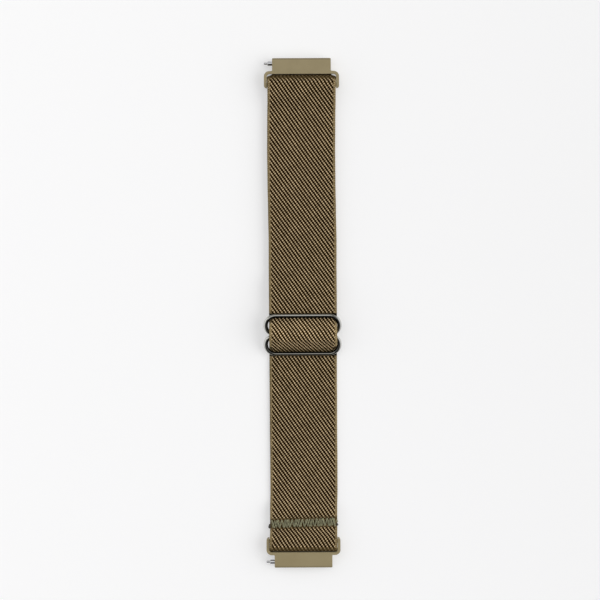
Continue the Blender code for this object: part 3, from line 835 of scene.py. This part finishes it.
# %% The zigzag
thread_radius = 0.155 * mm
thread_twist = (0.05 * mm, 0.75 * mm, 3)
tack_margin = 0.35 * mm
turn_dip = 0.16 * mm


def zigzag(centre_y, surface, outward, tilt, lift, stroke, seed):
    """Up and down strokes across the strip, as a wave whose turns are tight. Each turn dips
    into the webbing, and a seeded chance makes the strokes a little uneven."""
    chance = np.random.default_rng(seed)
    half = strip_half - tack_margin
    count = int(2 * half / stroke)
    t = np.linspace(0, count, count * 16 + 1)
    wave = 2 / math.pi * np.arcsin(0.985 * np.sin(math.pi * (t + 0.5)))
    uneven = 1 + 0.10 * np.interp(t, np.arange(count + 1), chance.uniform(-1, 1, count + 1))
    x = -half + t * stroke + 0.5 * (2 * half - count * stroke)
    y = centre_y + x * math.tan(tilt) + wave * uneven * tack_height / 2
    dip = ramp(0.72, 1.0, np.abs(wave)) * turn_dip
    z = surface + outward * (lift - dip)
    return np.stack([x, y, z], axis=1)


# %% [markdown]
# Polyester thread
#
# The thread is a twisted filament thread, a little glossier and greener than the webbing. Where
# its end is cut it is melted, which leaves a dark, smooth lump.

# %% The thread's materials


def thread_material():
    """Grey-green filament thread with a fine fibre grain."""
    material, tree, shader = new_material("polyester_thread", 0.60, IOR=1.57, Sheen_Weight=0.15)
    place = own_place(tree)
    fibre = noise(tree, place, 1400.0)
    base = blend_colours(tree, fibre, colour("#444228"), colour("#a09d7a"))
    tree.links.new(base, shader.inputs["Base Color"])
    normal = bump(tree, noise(tree, place, 9000.0), 0.3, 0.02 * mm)
    tree.links.new(normal, shader.inputs["Normal"])
    return material


def melted_material():
    """Thread melted to a dark, smoother lump."""
    material, tree, shader = new_material("melted_thread", 0.45, IOR=1.57)
    cloud = noise(tree, own_place(tree), 1500.0)
    base = blend_colours(tree, cloud, colour("#1b1914"), colour("#3d3a30"))
    tree.links.new(base, shader.inputs["Base Color"])
    return material


# %% Sew the two bar-tacks
top = second_layer + strip_thick / 2
underside = 0.36 * mm
dense_stroke, wide_stroke = 0.60 * mm, 0.87 * mm
wide_lift = 0.17 * mm
stitches = [
    # title, solid that it stands for, body, Y, surface, outward, tilt, lift of the dense layer
    ("lower_tack_stitches", "lower_tack_needle_thread", "lower_end",
     tack_y, top - 0.17 * mm, 1, tack_tilt, -0.03 * mm),
    ("lower_tack_back_stitches", "lower_tack_bobbin_thread", "lower_end",
     tack_y, underside, -1, tack_tilt, 0.12 * mm),
    ("sewn_end_stitches", "sewn_end_needle_thread", "slider",
     sewn_y, top - 0.20 * mm, 1, 0.0, -0.03 * mm),
    ("sewn_end_back_stitches", "sewn_end_bobbin_thread", "slider",
     sewn_y, underside, -1, 0.0, 0.12 * mm),
]  # fmt: skip

polyester = thread_material()
for index, (title, node, body, y, surface, outward, tilt, dense_lift) in enumerate(stitches):
    for layer, (stroke, lift) in enumerate(((dense_stroke, dense_lift), (wide_stroke, wide_lift))):
        path = zigzag(y, surface, outward, tilt, lift, stroke, 10 * index + layer)
        thread = tube(f"{title}_{layer + 1}", path, thread_radius, 10, twist=thread_twist)
        wear(thread, polyester)
        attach(thread, body)
        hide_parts(node)
    print(f"{title}: {1000 * length_of(path):.0f} mm of thread in its wide strokes")

# %% Knots at the ends of the lower bar-tack


def knot(name, centre, size):
    """A small lump: a sphere whose radius waves with both of its angles."""
    polar = np.linspace(0.02, math.pi - 0.02, 14)[:, None]
    turn = np.linspace(0, 2 * math.pi, 20, endpoint=False)[None, :]
    radius = 1 + 0.12 * np.sin(3 * turn + 2 * polar) * np.sin(polar)
    level = np.sin(polar)
    ring = [level * np.cos(turn), level * np.sin(turn), np.cos(polar) + 0 * turn]
    points = np.asarray(centre) + radius[:, :, None] * np.stack(ring, axis=2) * np.asarray(size)
    return grid_mesh(name, points, flip=True)


melted = melted_material()
knot_z = 1.9 * mm
left_knot = (-strip_half - 0.02 * mm, tack_y - 1.25 * mm, knot_z)
right_knot = (strip_half - 0.02 * mm, tack_y - 0.65 * mm, knot_z)
right_end = (strip_half - 0.05 * mm, tack_y + 0.6 * mm, knot_z)
knots = [
    (knot("stitch_knot_left", left_knot, (0.5 * mm, 0.8 * mm, 0.5 * mm)), melted),
    (knot("stitch_knot_right", right_knot, (0.45 * mm, 0.5 * mm, 0.45 * mm)), melted),
    (knot("thread_end_right", right_end, (0.40 * mm, 0.5 * mm, 0.45 * mm)), polyester),
]
for lump, finish in knots:
    wear(lump, finish)
    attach(lump, "lower_end")

# %% [markdown]
# The slider
#
# One length of steel wire is bent into a two-lobed frame and welded across its waist with a
# middle bar, then plated dark and polished. The frame's centre line is four arcs and two straight
# bars, in a plane that leans as the layers of webbing under it make it. In the photograph the wire
# looks 1.35 mm thick, so its surface lies 0.1 mm outside the solid's, and a little further on the
# lobes. At the waist, where it is bent sharply, it is thinner.

# %% The slider's centre line
lobe = bar_spacing / 2
waist_round = 0.85 * mm
waist_centre = lobe_x + math.sqrt((lobe + waist_round) ** 2 - lobe**2)
waist_lean = math.atan2(lobe, waist_centre - lobe_x)
waist_x = waist_centre - waist_round


def slider_outline():
    """Half of the frame from the lower bar round the right side, then its mirror image."""
    lower = arc((lobe_x, -lobe), lobe, -math.pi / 2, waist_lean)
    neck = arc((waist_centre, 0), waist_round, math.pi + waist_lean, math.pi - waist_lean)
    upper = arc((lobe_x, lobe), lobe, -waist_lean, math.pi / 2)
    half = np.concatenate([[(0, -2 * lobe)], lower, neck[1:-1], upper, [(0, 2 * lobe)]])
    return np.concatenate([half, half[-2:0:-1] * [-1, 1]])


def to_slider_plane(points):
    """(x, u) in the slider's plane to the model's frame: u runs up the lean. The photograph shows
    the wire a little nearer the lower end than the solid."""
    x, u = points[:, 0], points[:, 1] - wire_shift
    y, z = slider_y + u * math.cos(slider_tilt), slider_z + u * math.sin(slider_tilt)
    return np.stack([x, y, z], axis=1)


def even_closed(points, step):
    """Even steps round a closed outline."""
    ring = np.concatenate([points, points[:1]])
    distance = np.r_[0, np.cumsum(np.linalg.norm(np.diff(ring, axis=0), axis=1))]
    at = np.linspace(0, distance[-1], int(distance[-1] / step), endpoint=False)
    return np.stack([np.interp(at, distance, ring[:, i]) for i in range(2)], axis=1)


# %% The frame's wire
wire_around = 28
lobe_swell = 0.08 * mm
neck_waste = 0.10 * mm
wire_path = to_slider_plane(even_closed(slider_outline(), 0.18 * mm))
from_side = np.abs(wire_path[:, :1])
from_waist = np.abs(wire_path[:, 1:2] - slider_y + wire_shift)
lobe_share = ramp(strip_half - 0.6 * mm, strip_half + 0.2 * mm, from_side)
neck_share = 1 - ramp(0.5 * mm, 1.6 * mm, from_waist)
wire_path[:, :1] += np.sign(wire_path[:, :1]) * lobe_swell * lobe_share
thickness = (plated_radius + lobe_swell * lobe_share - neck_waste * neck_share)[:, 0]
frame_wire = tube("slider_frame_wire", wire_path, thickness, wire_around, True)

facing_out = np.cos(np.linspace(0, 2 * math.pi, wire_around, endpoint=False))[None, :]
# Painted shade: the wire's inner side is darkened in the material.
give_attribute(frame_wire, "painted_inner_shade", ramp(0.10, 0.45, -facing_out) + 0 * lobe_share)
# Painted reflection: the outsides of the lobes are lightened in the material.
give_attribute(frame_wire, "painted_outer_reflection", ramp(0.0, 0.6, facing_out) * lobe_share)
print(f"slider: {1000 * length_of(wire_path):.0f} mm of wire in the frame")

# %% The middle bar, with a fillet of weld near each end
weld_start, weld_full = -1.3 * mm, -0.65 * mm
bar_x = np.linspace(-waist_x, waist_x, 160)
near_frame = np.abs(bar_x) - waist_x
swell = 0.16 * mm * ramp(weld_start, weld_full, near_frame)
taper = 0.35 * mm * ramp(weld_full, 0, near_frame)
bar_path = to_slider_plane(np.stack([bar_x, 0 * bar_x], axis=1))
middle_bar = tube("slider_middle_bar", bar_path, wire_radius + swell - taper, wire_around)

# %% [markdown]
# Plated steel
#
# Black nickel over polished wire: a dark mirror. It shows its surroundings at about a quarter of
# their brightness, so the pale room gives a grey line on top. The inner side of the frame is
# painted near black, a painted shade, and the outsides of the lobes are painted bright, a painted
# reflection.
# Handling leaves faint smears that change the roughness.

# %% The slider's material


def plated_steel():
    """A dark mirror with smears, painted shade on its inner side and a painted reflection on lobes.
    """
    material, tree, shader = new_material("black_nickel_plating", 0.08, 1.0)
    smear = noise(tree, own_place(tree), 260.0, 4.0)
    base = blend_colours(tree, smear, colour("#85847e"), colour("#94938d"))
    # Painted reflection: the outsides of the lobes are lightened.
    base = blend_colours(tree, attribute(tree, "painted_outer_reflection"), base, colour("#c2c1bc"))
    # Painted shade: the inner side is darkened to near black.
    base = blend_colours(tree, attribute(tree, "painted_inner_shade"), base, colour("#12100c"))
    tree.links.new(base, shader.inputs["Base Color"])
    rough = remap(tree, smear, 0.3, 0.7, 0.05, 0.11)
    tree.links.new(rough, shader.inputs["Roughness"])
    return material


plating = plated_steel()
for piece in (frame_wire, middle_bar):
    wear(piece, plating)
    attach(piece, "slider")
    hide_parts("length_slider")

# %% [markdown]
# End links
#
# The links are zinc castings with a baked matte paint. The solids have their shape, so they stay
# and get a new material: khaki, with the fine orange-peel grain of sprayed paint, some 0.25 mm
# across, and slow changes of tone. The outermost edge rests against the watch case; its colour is
# painted a shade darker there, a painted shade.

# %% The links' material
edge_shade_start, edge_shade_full = 86.75 * mm, 87.25 * mm


def painted_zinc():
    """Matte khaki paint with orange peel, and painted shade on the outermost edge."""
    material, tree, shader = new_material("matte_paint_on_zinc", 0.52, IOR=1.50)
    place = own_place(tree)
    base = blend_colours(tree, noise(tree, place, 180.0, 3.0), colour("#857856"), colour("#978a69"))
    along = add_node(tree, "ShaderNodeSeparateXYZ", inputs={"Vector": place}).outputs["Y"]
    from_middle = maths(tree, "ABSOLUTE", along)
    # Painted shade: the colour darkens toward the outermost edge.
    painted_edge_shade = remap(tree, from_middle, edge_shade_start, edge_shade_full, 0.0, 0.55)
    base = blend_colours(tree, painted_edge_shade, base, colour("#5c5238"))
    tree.links.new(base, shader.inputs["Base Color"])
    normal = bump(tree, noise(tree, place, 4000.0), 0.35, 0.03 * mm)
    tree.links.new(normal, shader.inputs["Normal"])
    return material


paint = painted_zinc()
for side in ("upper", "lower"):
    wear(nodes[f"{side}_end_link"], paint)

# %% [markdown]
# Spring bars
#
# Turned stainless steel: bright, with fine rings from the lathe. The spring inside each bar is a
# coil of drawn wire with closed end turns. The CAD model's solid can't get shorter when the
# plunger is pulled in; a new coil is wound in its place, between that solid's corners.

# %% Wind the springs
spring_turns = 14
coil_wire = 0.08 * mm


def coil(name, low, high):
    """A helix round the X axis between two corners: the angle grows evenly, and the place along X
    grows a third as fast in the end turns."""
    low, high = np.array(low), np.array(high)
    t = np.linspace(0, 1, spring_turns * 24 + 1)
    end_turn = 1.5 / spring_turns
    rate = 0.35 + 0.65 * ramp(0, end_turn, t) * (1 - ramp(1 - end_turn, 1, t))
    share = np.cumsum(rate) / np.sum(rate)
    angle = 2 * math.pi * spring_turns * t
    middle = (low + high) / 2
    radius = (high[1] - low[1]) / 2 - coil_wire
    x = low[0] + coil_wire + share * (high[0] - low[0] - 2 * coil_wire)
    y, z = middle[1] + radius * np.cos(angle), middle[2] + radius * np.sin(angle)
    return tube(name, np.stack([x, y, z], axis=1), coil_wire, 8)


springs = []
for side in ("upper", "lower"):
    low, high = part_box(f"{side}_bar_spring")
    wound = coil(f"{side}_spring_coil", low, high)
    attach(wound, f"{side}_bar")
    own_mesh(wound)
    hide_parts(f"{side}_bar_spring")
    springs.append(wound)

# %% The bars' materials


def turned_steel(name, low, high, roughness):
    """Bright steel with rings round the X axis."""
    material, tree, shader = new_material(name, roughness, 1.0)
    lathe = {"Vector": own_place(tree), "Scale": 2600.0, "Distortion": 0.6}
    rings = add_node(tree, "ShaderNodeTexWave", {"bands_direction": "X"}, lathe).outputs["Fac"]
    base = blend_colours(tree, rings, colour(low), colour(high))
    tree.links.new(base, shader.inputs["Base Color"])
    tree.links.new(bump(tree, rings, 0.2, 0.01 * mm), shader.inputs["Normal"])
    return material


steel = turned_steel("turned_stainless_steel", "#b4b4b6", "#d0d0d1", 0.24)
coil_steel = turned_steel("drawn_spring_wire", "#8e8e90", "#aaaaab", 0.32)
for side in ("upper", "lower"):
    for piece in ("tube", "fixed_tip", "plunger", "release_knob"):
        wear(nodes[f"{side}_bar_{piece}"], steel)
for wound in springs:
    wear(wound, coil_steel)

# %% [markdown]
# Floor
#
# The photograph is a product shot on a nearly white table whose shadows are faint, so nearly half
# of the floor's brightness is its own: the camera and the mirroring metal see that share of it as
# plain white light, and the rest as a lit surface that takes the shadow. The table is a little
# darker toward the right.

# %% The table
floor_glow = 0.43


def floor_material():
    """A pale table that glows for the eye and for mirrors, but lights nothing."""
    material, tree, shader = new_material("pale_table", 0.9)
    place = own_place(tree)
    parts = add_node(tree, "ShaderNodeSeparateXYZ", inputs={"Vector": place}).outputs
    rightward = remap(tree, parts["X"], -0.12, 0.12)
    table = blend_colours(tree, rightward, colour("#ffffff"), colour("#f2f2f2"))
    base = blend_colours(tree, noise(tree, place, 3.0), table, colour("#fafafb"))
    tree.links.new(base, shader.inputs["Base Color"])
    rays = add_node(tree, "ShaderNodeLightPath").outputs
    seen = maths(tree, "ADD", rays["Is Camera Ray"], rays["Is Glossy Ray"])
    seen = maths(tree, "ADD", seen, rays["Is Transmission Ray"])
    share = maths(tree, "MULTIPLY", seen, floor_glow)
    glow = add_node(tree, "ShaderNodeEmission", inputs={"Color": table, "Strength": 1.0})
    mix = add_node(tree, "ShaderNodeMixShader", inputs={"Fac": share})
    tree.links.new(shader.outputs[0], mix.inputs[1])
    tree.links.new(glow.outputs[0], mix.inputs[2])
    tree.links.new(mix.outputs[0], tree.nodes["Material Output"].inputs["Surface"])
    return material


corner = 3.0
floor_mesh = bpy.data.meshes.new("floor")
floor_mesh.from_pydata(
    [(-corner, -corner, 0), (corner, -corner, 0), (corner, corner, 0), (-corner, corner, 0)],
    [],
    [(0, 1, 2, 3)],
)
floor = bpy.data.objects.new("floor", floor_mesh)
bpy.context.scene.collection.objects.link(floor)
wear(floor, floor_material())

# %% [markdown]
# Light
#
# A pale ceiling lamp and a wide lamp low on the right light the strap. The room is pale beyond the
# strap's upper end and dim on the near side, so the slider's bars have a dark lower edge. A window
# on the left and a light wall on the right are mirrored in the slider's lobes. The lamp on the
# right isn't mirrored, because a lamp this strong would turn the right lobes white.

# %% Room
world = bpy.data.worlds.new("dim_room")
bpy.context.scene.world = world
world.use_nodes = True
room = world.node_tree
sky = room.nodes["Background"]
sky.inputs["Color"].default_value = colour("#f7f8fb")
way = add_node(room, "ShaderNodeTexCoord").outputs["Generated"]
parts = add_node(room, "ShaderNodeSeparateXYZ", inputs={"Vector": way}).outputs
far_side = remap(room, parts["Y"], -0.6, 0.6, 0.04, 0.45)
window = remap(room, parts["X"], -0.45, -0.85, 0.0, 1.0)
wall = remap(room, parts["X"], 0.45, 0.85, 0.0, 0.9)
brightness = maths(room, "ADD", maths(room, "ADD", far_side, window), wall)
room.links.new(brightness, sky.inputs["Strength"])

# %% Lamps


def soft_box(name, size, watts, place):
    """A square lamp at a place, aimed at the middle of the strap."""
    lamp = bpy.data.lights.new(name, "AREA")
    lamp.shape = "SQUARE"
    lamp.size = size
    lamp.energy = watts
    lamp.color = (1.0, 0.99, 0.97)
    holder = bpy.data.objects.new(name, lamp)
    holder.location = place
    holder.rotation_euler = (-holder.location).to_track_quat("-Z", "Y").to_euler()
    bpy.context.scene.collection.objects.link(holder)
    return holder


soft_box("ceiling", 2.1, 16.6, (-0.45, 0.8, 2.35))
side_lamp = soft_box("lamp_on_the_right", 2.5, 49.0, (2.1, -0.1, 1.5))
side_lamp.visible_glossy = False
bpy.context.scene.view_settings.view_transform = "Standard"

# %% [markdown]
# Camera
#
# The place was fitted to the photograph: the upper block looks 2 % wider than the lower one, so
# the camera stands above the strap, a little nearer its upper end, and leans back by 4 degrees.

# %% Camera
focal_pixels, picture_pixels = 2036.2, 600
camera = bpy.data.cameras.new("camera")
camera.sensor_width = 36.0
camera.lens = focal_pixels / picture_pixels * camera.sensor_width
camera.clip_start = 0.01
camera_object = bpy.data.objects.new("camera", camera)
camera_object.location = (-0.83 * mm, 54.8 * mm, 698.2 * mm)
camera_object.rotation_mode = "ZYX"
camera_object.rotation_euler = (math.radians(-4.087), 0, math.radians(-0.255))
bpy.context.scene.collection.objects.link(camera_object)
bpy.context.scene.camera = camera_object
